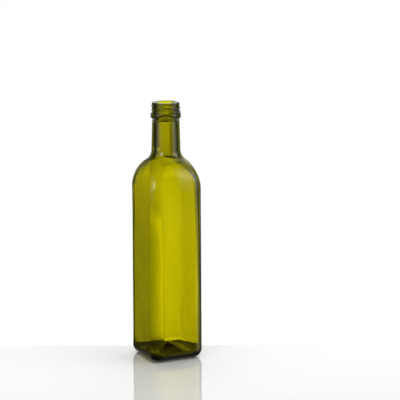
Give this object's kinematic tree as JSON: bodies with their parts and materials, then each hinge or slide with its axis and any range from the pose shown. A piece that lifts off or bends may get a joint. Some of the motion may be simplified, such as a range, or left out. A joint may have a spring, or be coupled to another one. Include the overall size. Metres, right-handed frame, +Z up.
{
  "type": "marasca bottle",
  "caption": "Empty square glass bottle for oil or vinegar, with rounded corners, a domed shoulder, a slim round neck and an open screw-thread mouth.",
  "frame": {"origin": "centre of the base, on the surface that the bottle stands on", "axes": "+Z up along the bottle's axis to the mouth, with the four flat sides facing +X, +Y, -X and -Y; the picture looks between -Y and -X, so its wide face is the -Y side and its narrow face the -X side"},
  "size_m": [0.0584, 0.0584, 0.262],
  "materials": {
    "olive_glass": "clear olive green bottle glass with a fire-polished gloss"
  },
  "bodies": {
    "root": {"bottle": "olive_glass"}
  },
  "joints": []
}
